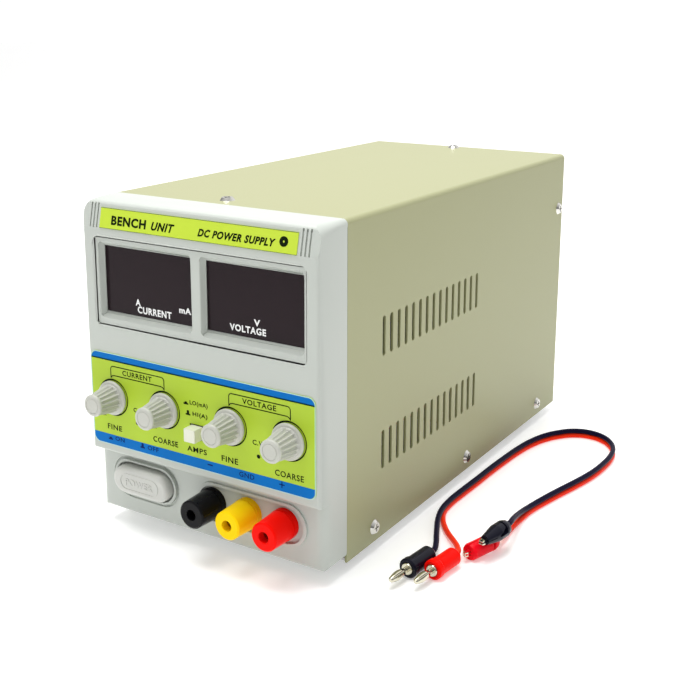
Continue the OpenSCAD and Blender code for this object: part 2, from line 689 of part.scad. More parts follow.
// Output wires from the posts, and mains wires from the inlet to the switch
module wire_harness() color([0.7, 0.15, 0.12]) {
    for (i = [-1 : 1]) wire([
        [post_at(i), y_l + 16, post_z], [post_at(i), y_c + 12, post_z],
        [post_at(i) + 4, y_c + 24, post_z + 6], [44 + i * 4, y_c + 44, 44],
        [50 + i * 4, y_c + 80, 48], [48 + i * 4, y_c + 112, 50],
        [34 + i * 4, y_c + 126, 42], [28 + i * 4, y_c + 142, 26],
        [26 + i * 4, y_c + 150, board_z + 2.9]], 1.3, 6);
    for (i = [0, 1]) wire([
        [inlet_x - 7 + i * 7, y_r - 22, inlet_z + 2 + i * 4],
        [inlet_x - 8 + i * 4, y_r - 28, inlet_z + 5],
        [20 + i * 4, y_r - 34, 64], [16 + i * 4, y_c + 170, 78], [4 + i * 4, y_c + 130, 84],
        [-20 + i * 4, y_c + 84, 86], [-46 + i * 4, y_c + 52, 80], [-52 + i * 4, y_c + 36, 58],
        [-40 + i * 4, y_c + 26, 34], [power_x - 2 + i * 4, y_c + 20, power_z],
        [power_x - 2 + i * 4, y_l + 32, power_z]], 1.2, 6);
}

// ---- Rear ----

module fan_frame() color([0.1, 0.1, 0.1]) {
    y0 = y_r - sheet_t - fan_t;
    difference() {
        along_y(y0, fan_t) translate([fan_x, fan_z]) rounded(fan_w, fan_w, 3);
        rod_y(fan_x, fan_z, 28.2, y0 - 1, y0 + fan_t + 1);
        for (x = [-1, 1], z = [-1, 1])
            rod_y(fan_x + x * fan_hole, fan_z + z * fan_hole, 1.6, y0 - 1, y0 + 20);
    }
    // Spider, motor plate and the pin that the rotor turns on
    for (a = [45 : 90 : 315]) translate([fan_x, y0, fan_z]) rotate([0, a, 0])
        box([10, 0, -1.2], [28.6, 1.6, 1.2]);
    rod_y(fan_x, fan_z, 12.5, y0, y0 + 1.6);
    rod_y(fan_x, fan_z, 1.5, y0 + 1, y0 + 11.6);
}

module fan_rotor() color([0.14, 0.14, 0.14]) {
    y0 = y_r - sheet_t - fan_t + 2.3;
    difference() {
        union() {
            rod_y(fan_x, fan_z, 12, y0, y0 + fan_t - 4);
            for (a = [0 : 360 / 7 : 359]) translate([fan_x, y0 + 5.2, fan_z])
                rotate([0, a, 0]) translate([11, 0, 0]) rotate([32, 0, 0])
                    box([0, -0.6, -7.5], [15.4, 0.6, 7.5]);
        }
        rod_y(fan_x, fan_z, 1.55, y0 - 1, y0 + 10);
    }
}

module fan_guard() color([0.78, 0.78, 0.76]) {
    along_y(y_r, 1.8) translate([fan_x, fan_z]) difference() {
        union() {
            for (r = [8, 15, 22, 28.5]) difference() {
                circle(r + 0.8);
                circle(r - 0.8);
            }
            for (a = [45 : 90 : 315]) rotate(a) translate([7.5, -0.8]) square([25, 1.6]);
            for (x = [-1, 1], z = [-1, 1]) translate([x * fan_hole, z * fan_hole]) circle(3.4);
        }
        for (x = [-1, 1], z = [-1, 1]) translate([x * fan_hole, z * fan_hole]) circle(1.7);
    }
}

inlet_front = y_r + 3;
drawer_z = inlet_z - 11.5;

module mains_inlet() color([0.09, 0.09, 0.09]) {
    difference() {
        union() {
            along_y(y_r, 3) translate([inlet_x, inlet_z]) rounded(inlet_w, inlet_h, 3);
            box([inlet_x - 14, y_r - 19, inlet_z - 16], [inlet_x + 14, y_r + 1, inlet_z + 16]);
        }
        box([inlet_x - 12.2, y_r - 14, inlet_z - 4.4],
            [inlet_x + 12.2, inlet_front + 1, inlet_z + 12.4]);
        box([inlet_x - 11.3, y_r - 17, drawer_z - 3.4],
            [inlet_x + 11.3, inlet_front + 1, drawer_z + 3.4]);
        for (x = [-20, 20]) rod_y(inlet_x + x, inlet_z, 1.6, y_r - 1, y_r + 4);
    }
    // Three flat pins and their tags
    for (p = [[-7, 2], [0, 6], [7, 2]]) {
        box([inlet_x + p[0] - 1, y_r - 15, inlet_z + p[1] - 2],
            [inlet_x + p[0] + 1, inlet_front - 6, inlet_z + p[1] + 2]);
        box([inlet_x + p[0] - 0.5, y_r - 22, inlet_z + p[1] - 2],
            [inlet_x + p[0] + 0.5, y_r - 18, inlet_z + p[1] + 2]);
    }
}

module fuse_drawer() color([0.12, 0.12, 0.12]) {
    box([inlet_x - 11, y_r - 15, drawer_z - 3.1], [inlet_x + 11, inlet_front + 0.8, drawer_z + 3.1]);
    box([inlet_x - 4, inlet_front, drawer_z - 1.2], [inlet_x + 4, y_r + rear_out, drawer_z + 1.2]);
}

module voltage_selector() color([0.1, 0.1, 0.1]) difference() {
    union() {
        along_y(y_r, 1.2) translate([selector_x, selector_z]) rounded(34, 15, 1.5);
        box([selector_x - 11.5, y_r - 11, selector_z - 5.5],
            [selector_x + 11.5, y_r + 0.5, selector_z + 5.5]);
    }
    box([selector_x - 7.6, y_r - 4, selector_z - 3.4],
        [selector_x + 7.6, y_r - 0.2, selector_z + 3.4]);
    box([selector_x - 7.6, y_r - 1, selector_z - 2.4],
        [selector_x + 7.6, y_r + 3, selector_z + 2.4]);
}

module selector_slider() color([0.8, 0.1, 0.08]) {
    box([selector_x - 7.3, y_r - 3.7, selector_z - 3.1],
        [selector_x + 0.7, y_r - 0.5, selector_z + 3.1]);
    box([selector_x - 7.3, y_r - 1, selector_z - 2.1],
        [selector_x + 0.7, y_r + 1.8, selector_z + 2.1]);
}

// ---- Leads ----

// A plug's own frame: its axis along +X from the cord end of the sleeve
module at_plug(place, turn) {
    translate(place) rotate([0, 0, turn]) children();
}

module plug_sleeve() rotate([0, 90, 0]) difference() {
    union() {
        cylinder(r1 = 3, r2 = 3.95, h = 1.5);
        translate([0, 0, 1.4]) cylinder(r = 3.95, h = sleeve_l - 4);
        translate([0, 0, sleeve_l - 3.6]) cylinder(r1 = 3.95, r2 = sleeve_r, h = 0.6);
        translate([0, 0, sleeve_l - 3]) cylinder(r = sleeve_r, h = 2.4);
        translate([0, 0, sleeve_l - 0.61]) cylinder(r1 = sleeve_r, r2 = sleeve_r - 0.6, h = 0.61);
    }
    translate([0, 0, sleeve_l - 3]) cylinder(r = 2.9, h = 4);
}

module plug_pin() translate([sleeve_l - 3, 0, 0]) rotate([0, 90, 0]) rotate_extrude()
    polygon([[0, 0], [2.8, 0], [2.8, 3.6], [1.4, 3.6], [1.4, 5],
        for (a = [-60 : 15 : 60]) [1.2 + 0.8 * cos(a * 1.5), 9.8 + 4.6 * sin(a)],
        [0.6, 15.5], [0, 15.5]]);

// nose is the radius of the cover's front end, and how far back it reaches full width
module clip_barrel(nose) rotate([0, 90, 0]) rotate_extrude()
    polygon([[0, 0], [1, 0], [1.3, 3], [nose[0], 3], [clip_r, nose[1]],
        [clip_r, clip_l - 3.2], [3.3, clip_l - 1.2], [2.4, clip_l], [0, clip_l]]);

module clip_pin(r) translate([clip_pivot, 0, 0]) rotate([90, 0, 0])
    cylinder(r = r, h = 2 * clip_r, center = true);

module at_clip(place, roll) {
    translate(place[0]) rotate([0, 0, place[1]]) rotate([roll, 0, 0]) children();
}

// The fixed half holds the cord and a round rib, which the moving half turns on; the
// moving half is cut away behind it, so that pressing that end down opens the nose
module clip_base(nose) intersection() {
    clip_barrel(nose);
    union() {
        box([-1, -5, -5], [clip_l + 1, 5, -0.15]);
        box([clip_end, -5, -5], [clip_l + 1, 5, 5]);
        clip_pin(pin_r);
    }
}

module clip_jaw(nose) difference() {
    intersection() {
        clip_barrel(nose);
        rotate([90, 0, 0]) linear_extrude(10, center = true) polygon([
            [-1, 0.15], [clip_pivot, 0.15], [clip_tail, 2.6], [clip_tail, 5], [-1, 5]]);
    }
    clip_pin(pin_r + 0.05);
}

// ---- The nodes ----

front_bezel();
title_strip();
control_overlay();
display_windows();
digit_displays();
display_board();
top_cover();
chassis_tray();
rear_panel();
rubber_feet();
case_screws();
small_screws();
knob(0);  // current_fine_knob
knob(1);  // current_coarse_knob
knob(2);  // voltage_fine_knob
knob(3);  // voltage_coarse_knob
shaft(0);  // current_fine_shaft
shaft(1);  // current_coarse_shaft
shaft(2);  // voltage_fine_shaft
shaft(3);  // voltage_coarse_shaft
potentiometers();
pot_nuts();
power_button();
power_switch();
range_button();
range_switch();
post_studs();
post_nuts();
color([0.05, 0.05, 0.05]) post_base(-1);  // negative_base
color([0.95, 0.75, 0.1]) post_base(0);  // ground_base
color([0.9, 0.1, 0.05]) post_base(1);  // positive_base
post_washer(-1);  // negative_washer
post_washer(0);  // ground_washer
post_washer(1);  // positive_washer
color([0.05, 0.05, 0.05]) post_cap(-1);  // negative_cap
color([0.95, 0.75, 0.1]) post_cap(0);  // ground_cap
color([0.9, 0.1, 0.05]) post_cap(1);  // positive_cap
transformer_core();
transformer_coil();
main_board();
capacitors();
heatsink();
power_transistors();
wire_harness();
fan_frame();
fan_rotor();
fan_guard();
mains_inlet();
fuse_drawer();
voltage_selector();
selector_slider();
color([0.1, 0.08, 0.15]) wire(black_route, lead_d / 2, 8);  // black_lead
color([0.85, 0.15, 0.1]) wire(red_route, lead_d / 2, 8);  // red_lead
color([0.1, 0.1, 0.14]) at_plug(black_plug, black_plug_turn) plug_sleeve();  // black_plug_sleeve
color([0.85, 0.08, 0.06]) at_plug(red_plug, red_plug_turn) plug_sleeve();  // red_plug_sleeve
color([0.8, 0.78, 0.68]) {  // plug_pins
    at_plug(black_plug, black_plug_turn) plug_pin();
    at_plug(red_plug, red_plug_turn) plug_pin();
}
color([0.1, 0.1, 0.12]) at_clip(black_clip_at, 0) clip_base(black_nose);  // black_clip_base
color([0.1, 0.1, 0.12]) at_clip(black_clip_at, 0) clip_jaw(black_nose);  // black_clip_jaw
color([0.85, 0.08, 0.1]) at_clip(red_clip_at, 90) clip_base(red_nose);  // red_clip_base
color([0.85, 0.08, 0.1]) at_clip(red_clip_at, 90) clip_jaw(red_nose);  // red_clip_jaw
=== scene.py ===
"""Looks for the bench power supply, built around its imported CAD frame."""

import json
import math

import bmesh
import bpy
from mathutils import Matrix, Vector


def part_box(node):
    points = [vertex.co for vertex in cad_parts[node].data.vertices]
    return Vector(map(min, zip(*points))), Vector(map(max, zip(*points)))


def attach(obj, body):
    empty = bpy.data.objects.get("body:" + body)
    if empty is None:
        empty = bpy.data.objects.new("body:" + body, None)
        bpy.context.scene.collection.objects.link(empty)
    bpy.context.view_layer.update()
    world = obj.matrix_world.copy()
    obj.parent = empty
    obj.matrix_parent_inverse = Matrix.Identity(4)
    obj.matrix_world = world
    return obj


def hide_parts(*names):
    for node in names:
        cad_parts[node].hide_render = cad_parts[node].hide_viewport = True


MM = 0.001
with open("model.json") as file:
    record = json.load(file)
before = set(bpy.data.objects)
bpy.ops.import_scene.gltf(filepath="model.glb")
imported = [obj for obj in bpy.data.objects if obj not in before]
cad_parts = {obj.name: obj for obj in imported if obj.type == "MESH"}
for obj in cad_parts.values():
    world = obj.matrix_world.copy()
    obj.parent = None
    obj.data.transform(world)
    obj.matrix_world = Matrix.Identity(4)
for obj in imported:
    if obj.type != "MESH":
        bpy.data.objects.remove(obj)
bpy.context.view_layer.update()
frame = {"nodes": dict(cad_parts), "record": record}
nodes = frame["nodes"]

# Places that the CAD sets
film_low, film_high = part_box("control_overlay")
window_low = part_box("display_windows")[0]
case_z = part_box("top_cover")[0].z
panel_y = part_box("front_bezel")[0].y
KNOBS = ["current_fine", "current_coarse", "voltage_fine", "voltage_coarse"]
knob_boxes = [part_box(knob + "_knob") for knob in KNOBS]
knob_x = [(low.x + high.x) / 2 / MM for low, high in knob_boxes]
knob_z = ((knob_boxes[0][0].z + knob_boxes[0][1].z) / 2 - case_z) / MM

# The tilted title strip, in millimetres: where it starts above the case, its rise, how far it
# leans back, and how far its film stands out
TITLE_Z = 136.2
TITLE_RISE = 10.4
TITLE_BACK = 2.2
TITLE_FILM = 0.37

# Print, in millimetres: its thickness, how far its layers stand off the film, and how far the
# power button's raised legend stands out
PRINT = 0.04
THIN_PRINT = 0.03
INK_LIFT = 0.03
BAND_LIFT = 0.05
RAISED = 0.5
CAPITAL = 0.72  # a capital letter's height as a share of the text size

# ---- Camera ----

def add_camera():
    camera = bpy.data.objects.new("camera", bpy.data.cameras.new("camera"))
    bpy.context.scene.collection.objects.link(camera)
    camera.location = (0.2872, -0.4676, 0.2349)
    camera.rotation_euler = (math.radians(90 - 12.86), 0, math.radians(32.53))
    camera.data.lens = 56.6
    camera.data.sensor_width = 36
    camera.data.shift_x = 0.0268
    camera.data.shift_y = -0.1278
    camera.data.clip_start = 0.01
    bpy.context.scene.camera = camera


# ---- Materials ----

def material(name, colour, rough=0.5, metal=0.0, coat=0.0, alpha=1.0, shine=0.5, grain=None,
             blotch=0.0):
    """A plain shader; shine is its specular level and grain is (scale per metre, bump height
    in metres)."""
    mat = bpy.data.materials.new(name)
    mat.use_nodes = True
    tree = mat.node_tree
    shader = tree.nodes["Principled BSDF"]
    shader.inputs["Base Color"].default_value = (*colour, 1)
    shader.inputs["Roughness"].default_value = rough
    shader.inputs["Metallic"].default_value = metal
    shader.inputs["Specular IOR Level"].default_value = shine
    shader.inputs["Coat Weight"].default_value = coat
    shader.inputs["Coat Roughness"].default_value = 0.08
    shader.inputs["Alpha"].default_value = alpha
    if grain or blotch:
        place = tree.nodes.new("ShaderNodeTexCoord")
        noise = tree.nodes.new("ShaderNodeTexNoise")
        tree.links.new(place.outputs["Object"], noise.inputs["Vector"])
        noise.inputs["Detail"].default_value = 2
    if grain:
        noise.inputs["Scale"].default_value = grain[0]
        bump = tree.nodes.new("ShaderNodeBump")
        bump.inputs["Distance"].default_value = grain[1]
        bump.inputs["Strength"].default_value = 0.6
        tree.links.new(noise.outputs["Fac"], bump.inputs["Height"])
        tree.links.new(bump.outputs["Normal"], shader.inputs["Normal"])
    if blotch:
        ramp = tree.nodes.new("ShaderNodeMapRange")
        ramp.inputs["To Min"].default_value = max(rough - blotch, 0.02)
        ramp.inputs["To Max"].default_value = rough + blotch
        tree.links.new(noise.outputs["Fac"], ramp.inputs["Value"])
        tree.links.new(ramp.outputs["Result"], shader.inputs["Roughness"])
    return mat


PAINT = material("cover_paint", (0.335, 0.34, 0.175), 0.42, grain=(2600, 0.00005), blotch=0.05)
BEZEL = material("bezel_plastic", (0.50, 0.53, 0.49), 0.42, shine=0.4, grain=(3200, 0.00003),
                 blotch=0.04)
LIME_STRIP = material("lime_strip", (0.52, 0.68, 0.05), 0.35, shine=0.2)
LIME = material("lime_film", (0.42, 0.59, 0.035), 0.38, shine=0.2, grain=(900, 0.00001))
BLUE = material("blue_print", (0.0, 0.15, 0.50), 0.35, shine=0.06)
SKY = material("sky_print", (0.42, 0.68, 0.66), 0.4)
INK = material("ink", (0.005, 0.012, 0.002), 0.5, shine=0.05)
NAVY = material("navy_ink", (0.001, 0.02, 0.13), 0.5, shine=0.05)
WHITE_INK = material("white_ink", (0.85, 0.86, 0.85), 0.5)
FILTER = material("filter", (0.017, 0.009, 0.012), 0.12, alpha=0.93, shine=0.12)
DISPLAY = material("display_block", (0.03, 0.025, 0.03), 0.3, shine=0.2)
SEGMENT = material("unlit_segment", (0.22, 0.06, 0.06), 0.4, shine=0.2)
KNOB = material("knob_plastic", (0.50, 0.505, 0.455), 0.36, grain=(2500, 0.00001))
BUTTON = material("power_plastic", (0.56, 0.565, 0.53), 0.38, grain=(2500, 0.00002))
IVORY = material("ivory_plastic", (0.70, 0.71, 0.59), 0.35)
BLACK_GLOSS = material("black_gloss", (0.005, 0.005, 0.006), 0.2, shine=0.1)
YELLOW = material("yellow_gloss", (1.0, 0.66, 0.004), 0.28, shine=0.05)
RED = material("red_gloss", (0.92, 0.004, 0.001), 0.3, shine=0.06)
CLIP_RED = material("clip_red", (0.88, 0.004, 0.015), 0.28, shine=0.08)
CLIP_BLACK = material("clip_black", (0.006, 0.006, 0.014), 0.22, shine=0.15)
BLACK_PVC = material("black_pvc", (0.006, 0.004, 0.022), 0.35, shine=0.04)
RED_PVC = material("red_pvc", (0.92, 0.03, 0.004), 0.35, shine=0.08)
NICKEL = material("nickel", (0.62, 0.61, 0.57), 0.16, metal=1, blotch=0.06)
BRIGHT = material("bright_nickel", (0.62, 0.59, 0.47), 0.10, metal=1)
ZINC = material("zinc_sheet", (0.62, 0.63, 0.64), 0.38, metal=1, blotch=0.1)
STEEL = material("can_steel", (0.40, 0.40, 0.42), 0.4, metal=1, blotch=0.08)
BRASS = material("brass", (0.72, 0.55, 0.26), 0.25, metal=1)
ALU = material("turned_aluminium", (0.75, 0.75, 0.76), 0.28, metal=1)
ANODISED = material("black_anodised", (0.03, 0.03, 0.032), 0.45, metal=0.6)
RUBBER = material("foot_rubber", (0.02, 0.02, 0.02), 0.8, grain=(1500, 0.00005))
MOULDED = material("moulded_black", (0.02, 0.02, 0.021), 0.5, grain=(1800, 0.00003))
BOARD = material("board", (0.01, 0.13, 0.04), 0.35, coat=0.3)
LAMINATE = material("laminations", (0.25, 0.25, 0.27), 0.5, metal=0.7)
TAPE = material("winding_tape", (0.72, 0.46, 0.05), 0.4)
CAN = material("capacitor_sleeve", (0.02, 0.03, 0.10), 0.3)
WIRE = material("harness_wire", (0.5, 0.03, 0.02), 0.4)

FINISH = {
    "front_bezel": BEZEL, "title_strip": LIME_STRIP, "control_overlay": LIME,
    "display_windows": FILTER, "digit_displays": DISPLAY, "display_board": BOARD,
    "top_cover": PAINT, "chassis_tray": ZINC, "rear_panel": PAINT, "rubber_feet": RUBBER,
    "case_screws": NICKEL, "small_screws": ZINC, "potentiometers": STEEL,
    "pot_nuts": NICKEL, "power_button": BUTTON, "power_switch": MOULDED,
    "range_button": IVORY, "range_switch": MOULDED, "post_studs": BRASS,
    "post_nuts": BRASS, "negative_base": BLACK_GLOSS, "ground_base": YELLOW,
    "positive_base": RED, "negative_washer": BRASS, "ground_washer": BRASS,
    "positive_washer": BRASS, "negative_cap": BLACK_GLOSS, "ground_cap": YELLOW,
    "positive_cap": RED, "transformer_core": LAMINATE, "transformer_coil": TAPE,
    "main_board": BOARD, "capacitors": CAN, "heatsink": ANODISED,
    "power_transistors": MOULDED, "wire_harness": WIRE, "fan_frame": MOULDED,
    "fan_rotor": MOULDED, "fan_guard": NICKEL, "mains_inlet": MOULDED,
    "fuse_drawer": MOULDED, "voltage_selector": MOULDED, "selector_slider": RED,
    "black_lead": BLACK_PVC, "red_lead": RED_PVC, "black_plug_sleeve": CLIP_BLACK,
    "red_plug_sleeve": RED, "plug_pins": BRIGHT, "black_clip_base": CLIP_BLACK,
    "black_clip_jaw": CLIP_BLACK, "red_clip_base": CLIP_RED, "red_clip_jaw": CLIP_RED,
}
FINISH.update({knob + "_knob": KNOB for knob in KNOBS})
FINISH.update({knob + "_shaft": ALU for knob in KNOBS})
BODY_OF = {
    node: body
    for body, inside in frame["record"]["behaviour"]["bodies"].items()
    for node in inside
}


def paint_nodes():
    for node, finish in FINISH.items():
        mesh = nodes[node].data
        mesh.materials.clear()
        mesh.materials.append(finish)
        for face in mesh.polygons:
            face.material_index = 0


# ---- Making pieces ----

def add(name, mesh, finish, body):
    piece = bpy.data.objects.new(name, mesh)
    bpy.context.scene.collection.objects.link(piece)
    mesh.materials.clear()
    mesh.materials.append(finish)
    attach(piece, body)
    return piece


def softened(node, width, steps=2, sharp=25, shortest=3.0, keep=None, merge=True):
    """A copy of a CAD node, shown in its place, with its long sharp edges rounded.
    keep(middle) is true where an edge stays as it is. merge joins flat faces first, which a
    face with holes can't bear."""
    work = bmesh.new()
    work.from_mesh(nodes[node].data)
    bmesh.ops.remove_doubles(work, verts=work.verts, dist=2e-6)
    if merge:
        bmesh.ops.dissolve_limit(
            work, angle_limit=math.radians(0.4), verts=work.verts, edges=work.edges)
    weight = work.edges.layers.float.new("bevel_weight_edge")
    for edge in work.edges:
        bend = math.degrees(edge.calc_face_angle(0))
        middle = (edge.verts[0].co + edge.verts[1].co) / 2
        chosen = bend > sharp and edge.calc_length() > shortest * MM
        if chosen and keep and keep(middle):
            chosen = False
        edge[weight] = 1.0 if chosen else 0.0
        edge.smooth = chosen or bend < 30
    for face in work.faces:
        face.smooth = True
    mesh = bpy.data.meshes.new(node + "_rounded")
    work.to_mesh(mesh)
    work.free()
    for name in [a.name for a in mesh.attributes if a.name == "custom_normal"]:
        mesh.attributes.remove(mesh.attributes[name])
    piece = add(node + "_rounded", mesh, FINISH[node], BODY_OF[node])
    bevel = piece.modifiers.new("edges", "BEVEL")
    bevel.width = width
    bevel.segments = steps
    bevel.limit_method = "WEIGHT"
    bevel.harden_normals = True
    bevel.use_clamp_overlap = False
    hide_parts(node)
    return piece


def as_mesh(curve):
    """The mesh of a curve or text, whose object is then gone."""
    holder = bpy.data.objects.new("holder", curve)
    bpy.context.scene.collection.objects.link(holder)
    graph = bpy.context.evaluated_depsgraph_get()
    mesh = bpy.data.meshes.new_from_object(holder.evaluated_get(graph))
    bpy.data.objects.remove(holder)
    return mesh


def filled(loops, thick=PRINT):
    """A flat shape from closed loops of (x, y) in millimetres; an inner loop is a hole."""
    curve = bpy.data.curves.new("shape", "CURVE")
    curve.dimensions = "2D"
    curve.fill_mode = "BOTH"
    curve.extrude = thick / 2 * MM
    for loop in loops:
        spline = curve.splines.new("POLY")
        spline.points.add(len(loop) - 1)
        for point, (x, y) in zip(spline.points, loop):
            point.co = (x * MM, y * MM, 0, 1)
        spline.use_cyclic_u = True
    return as_mesh(curve)


def lettering(words, x, y, height, span, weight=0.0, slant=0.0, thick=PRINT):
    """Words height millimetres tall and span wide, centred on (x, y)."""
    text = bpy.data.curves.new("words", "FONT")
    text.body = words
    text.size = height / CAPITAL * MM
    text.extrude = thick / 2 * MM
    text.offset = weight * MM
    text.shear = slant
    text.space_character = 1.12
    text.resolution_u = 3
    mesh = as_mesh(text)
    low = Vector([min(v.co[i] for v in mesh.vertices) for i in (0, 1)])
    high = Vector([max(v.co[i] for v in mesh.vertices) for i in (0, 1)])
    mesh.transform(
        Matrix.Translation((x * MM, y * MM, 0))
        @ Matrix.Diagonal((span * MM / (high.x - low.x), height * MM / (high.y - low.y), 1, 1))
        @ Matrix.Translation((-(low.x + high.x) / 2, -(low.y + high.y) / 2, 0)))
    return mesh


def joined(meshes, place):
    """One mesh from several, moved by the matrix place."""
    work = bmesh.new()
    for mesh in meshes:
        work.from_mesh(mesh)
    mesh = bpy.data.meshes.new("print")
    work.to_mesh(mesh)
    work.free()
    mesh.transform(place)
    return mesh


def facing(y, lift=0.02):
    """The plane of a front panel at y: its x is the case's x and its y is height above the case."""
    return Matrix.Translation((0, y - lift * MM, case_z)) @ Matrix.Rotation(math.pi / 2, 4, "X")


def arc(centre, radius, start, end, steps=12):
    return [
        (centre[0] + radius * math.cos(math.radians(start + (end - start) * i / steps)),
         centre[1] + radius * math.sin(math.radians(start + (end - start) * i / steps)))
        for i in range(steps + 1)
    ]


def rounded(x0, y0, x1, y1, radii):
    """A rounded rectangle; radii are for its corners from the lower left, anticlockwise."""
    corners = [(x0, y0, 180), (x1, y0, 270), (x1, y1, 0), (x0, y1, 90)]
    loop = []
    for (x, y, start), r in zip(corners, radii):
        if r == 0:
            loop.append((x, y))
            continue
        centre = (x + (r if x == x0 else -r), y + (r if y == y0 else -r))
        loop += arc(centre, r, start, start + 90, 6)
    return loop


def ring(centre, radius, width, start, end, grow=0.0):
    """Part of a ring, width wide at its middle and growing wider inwards towards its ends."""
    steps = 36
    outer = arc(centre, radius, start, end, steps)
    inner = []
    for i in range(steps + 1):
        a = math.radians(start + (end - start) * i / steps)
        r = radius - width - grow * math.cos(math.pi * i / steps) ** 2
        inner.append((centre[0] + r * math.cos(a), centre[1] + r * math.sin(a)))
    return outer + inner[::-1]


def stroke(points, width):
    """An open line of that width as a closed loop."""
    left, right = [], []
    for i, p in enumerate(points):
        before = Vector(points[max(i - 1, 0)])
        after = Vector(points[min(i + 1, len(points) - 1)])
        along = (after - before).normalized()
        side = Vector((-along.y, along.x)) * width / 2
        left.append((p[0] + side.x, p[1] + side.y))
        right.append((p[0] - side.x, p[1] - side.y))
    return left + right[::-1]


# ---- Leads: the CAD's own routes, in millimetres ----

LEAD_D = 2.6
BLACK_HIGH = 3.95
RED_HIGH = 1.3
PAIR = [
    (70.8, -22), (70.8, -8), (71.2, 8), (71.4, 24), (72, 40), (73, 56), (75, 70),
    (78.5, 81.5), (83.3, 90), (89.5, 96.3), (97.5, 98.8), (105.5, 96.8), (112, 91),
    (116.3, 83), (118.3, 73), (118.5, 60), (117.3, 46), (114.7, 32.5), (111.5, 19),
    (108.6, 6), (106.3, -6.5)]
BLACK_ROUTE = (
    [(87.9, -75.2, 4.4), (87.9, -71.5, 4.4), (86, -66, 4.4), (82.6, -59, 4.3),
     (79, -51.5, 4.1), (75, -42.5, BLACK_HIGH), (72, -32.5, BLACK_HIGH)]
    + [(x, y, BLACK_HIGH) for x, y in PAIR]
    + [(105.7, -14, 4.5), (106.2, -21, 5.8), (107.4, -28, 7.6), (108.9, -35, 9.3),
       (110, -40.5, 10.2), (110.1, -44.5, 10.3)])
RED_ROUTE = (
    [(97.7, -70.9, 4.4), (97.4, -67.3, 4.3), (94.8, -62.5, 3.8), (90.5, -57, 2.9),
     (85.5, -51.3, 1.9), (79.8, -44.5, RED_HIGH), (74.8, -37, RED_HIGH),
     (71.8, -29.5, RED_HIGH)]
    + [(x, y, RED_HIGH) for x, y in PAIR]
    + [(105.7, -17, RED_HIGH), (105.6, -26, RED_HIGH), (106.1, -34.5, 1.6),
       (106.8, -41, 2.9), (106.3, -47.2, 3.85)])


def add_lead(colour, route, finish):
    curve = bpy.data.curves.new(colour + "_flex", "CURVE")
    curve.dimensions = "3D"
    curve.bevel_depth = LEAD_D / 2 * MM
    curve.bevel_resolution = 5
    curve.resolution_u = 6
    curve.use_fill_caps = True
    spline = curve.splines.new("BEZIER")
    spline.bezier_points.add(len(route) - 1)
    for point, place in zip(spline.bezier_points, route):
        point.co = [value * MM for value in place]
        point.handle_left_type = "AUTO"
        point.handle_right_type = "AUTO"
    lead = bpy.data.objects.new(colour + "_flex", curve)
    bpy.context.scene.collection.objects.link(lead)
    curve.materials.append(finish)
    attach(lead, "leads")
    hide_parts(colour + "_lead")
    return lead


def add_leads():
    add_lead("black", BLACK_ROUTE, BLACK_PVC)
    add_lead("red", RED_ROUTE, RED_PVC)


# ---- Printing on the front ----

def switch_mark(x, y, tall):
    """The small printed picture of a button that is in (low) or out (tall)."""
    return [
        [(x - 1.3, y - 0.9), (x + 1.3, y - 0.9), (x + 1.3, y - 0.2), (x - 1.3, y - 0.2)],
        [(x - 0.7, y - 0.25), (x + 0.7, y - 0.25), (x + 0.6, y + tall), (x - 0.6, y + tall)],
    ]


